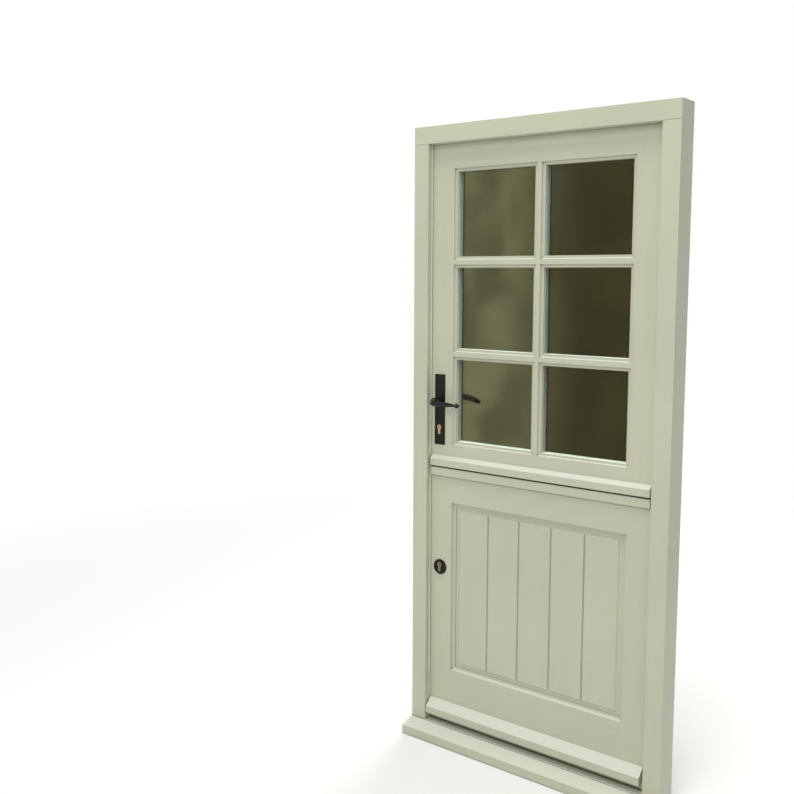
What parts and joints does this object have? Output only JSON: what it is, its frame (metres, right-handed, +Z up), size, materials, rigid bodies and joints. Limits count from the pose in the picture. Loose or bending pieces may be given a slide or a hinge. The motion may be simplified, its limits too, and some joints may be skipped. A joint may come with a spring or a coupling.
{
  "type": "dutch stable door",
  "caption": "Painted timber stable door in its frame: glazed upper leaf over a panelled lower leaf, each swinging inwards on butt hinges, with lever handle, locks and weather bars.",
  "frame": {"origin": "middle of the sill's underside, on the line of the frame's outside face", "axes": "+Z up, +Y into the building, +X along the wall from the lock side to the hinge side"},
  "size_m": [0.932, 0.185, 2.09],
  "materials": {
    "painted_timber": "satin sage green paint",
    "seal_rubber": "pale matt",
    "clear_glass": "clear",
    "spacer_metal": "satin",
    "glazing_tape": "matt",
    "black_ironmongery": "satin black",
    "cylinder_brass": "satin",
    "lock_steel": "brushed"
  },
  "bodies": {
    "frame": {"sill": "painted_timber", "lock_jamb": "painted_timber", "hinge_jamb": "painted_timber", "head": "painted_timber", "weather_seal": "seal_rubber", "upper_keep": "lock_steel", "lower_keep": "lock_steel", "upper_hinge_frame_flaps": "lock_steel", "lower_hinge_frame_flaps": "lock_steel", "hinge_pins": "lock_steel", "frame_screws": "lock_steel"},
    "upper_leaf": {"upper_lock_stile": "painted_timber", "upper_hinge_stile": "painted_timber", "upper_top_rail": "painted_timber", "upper_bottom_rail": "painted_timber", "vertical_glazing_bar": "painted_timber", "low_glazing_bar": "painted_timber", "high_glazing_bar": "painted_timber", "glass_low_left": "clear_glass", "glass_low_right": "clear_glass", "glass_middle_left": "clear_glass", "glass_middle_right": "clear_glass", "glass_high_left": "clear_glass", "glass_high_right": "clear_glass", "glass_spacers": "spacer_metal", "glazing_tapes": "glazing_tape", "glazing_beads": "painted_timber", "upper_weather_bar": "painted_timber", "upper_hinge_leaf_flaps": "lock_steel", "outer_handle_plate": "black_ironmongery", "inner_handle_plate": "black_ironmongery", "upper_lock_case": "lock_steel", "upper_cylinder_body": "cylinder_brass", "upper_screws": "lock_steel", "connecting_bolt_housing": "black_ironmongery"},
    "lower_leaf": {"lower_lock_stile": "painted_timber", "lower_hinge_stile": "painted_timber", "lower_top_rail": "painted_timber", "lower_bottom_rail": "painted_timber", "lower_panel": "painted_timber", "meeting_band": "painted_timber", "meeting_seal": "seal_rubber", "lower_weather_bar": "painted_timber", "lower_hinge_leaf_flaps": "lock_steel", "outer_escutcheon": "black_ironmongery", "inner_escutcheon": "black_ironmongery", "lower_lock_case": "lock_steel", "lower_cylinder_body": "cylinder_brass", "connecting_bolt_keep": "black_ironmongery", "lower_screws": "lock_steel"},
    "handle": {"outer_lever": "black_ironmongery", "inner_lever": "black_ironmongery", "spindle": "lock_steel", "follower": "lock_steel"},
    "upper_plug": {"upper_plug": "cylinder_brass"},
    "latch": {"latch": "lock_steel"},
    "upper_deadbolt": {"upper_deadbolt": "lock_steel"},
    "connecting_bolt": {"connecting_bolt": "black_ironmongery"},
    "lower_plug": {"lower_plug": "cylinder_brass"},
    "lower_deadbolt": {"lower_deadbolt": "lock_steel"}
  },
  "joints": [
    {"name": "upper_leaf_swing", "type": "hinge", "parent": "frame", "child": "upper_leaf", "pos_m": [0.4205, 0.091, 1.5], "axis": [0, 0, -1], "range_deg": [0, 100]},
    {"name": "lower_leaf_swing", "type": "hinge", "parent": "frame", "child": "lower_leaf", "pos_m": [0.4205, 0.091, 0.5], "axis": [0, 0, -1], "range_deg": [0, 100]},
    {"name": "handle_turn", "type": "hinge", "parent": "upper_leaf", "child": "handle", "pos_m": [-0.3735, 0.056, 1.18], "axis": [0, 1, 0], "range_deg": [0, 35], "stiffness_Nm_per_rad": 1.2, "springref_deg": -20.05},
    {"name": "upper_key_turn", "type": "hinge", "parent": "upper_leaf", "child": "upper_plug", "pos_m": [-0.3735, 0.056, 1.088], "axis": [0, 1, 0], "range_deg": [0, 360]},
    {"name": "latch_slide", "type": "slide", "parent": "upper_leaf", "child": "latch", "axis": [-1, 0, 0], "range_m": [0, 0.012]},
    {"name": "upper_bolt_slide", "type": "slide", "parent": "upper_leaf", "child": "upper_deadbolt", "axis": [-1, 0, 0], "range_m": [0, 0.02]},
    {"name": "connecting_bolt_slide", "type": "slide", "parent": "upper_leaf", "child": "connecting_bolt", "axis": [0, 0, -1], "range_m": [0, 0.026]},
    {"name": "lower_key_turn", "type": "hinge", "parent": "lower_leaf", "child": "lower_plug", "pos_m": [-0.3685, 0.056, 0.608], "axis": [0, 1, 0], "range_deg": [0, 360]},
    {"name": "lower_bolt_slide", "type": "slide", "parent": "lower_leaf", "child": "lower_deadbolt", "axis": [-1, 0, 0], "range_m": [0, 0.02]}
  ],
  "couplings": [
    {"joint": "latch_slide", "follows": "upper_bolt_slide", "ratio": 0.6},
    {"joint": "upper_key_turn", "follows": "upper_bolt_slide", "rad_per_m": 314.16},
    {"joint": "lower_key_turn", "follows": "lower_bolt_slide", "rad_per_m": 314.16}
  ]
}
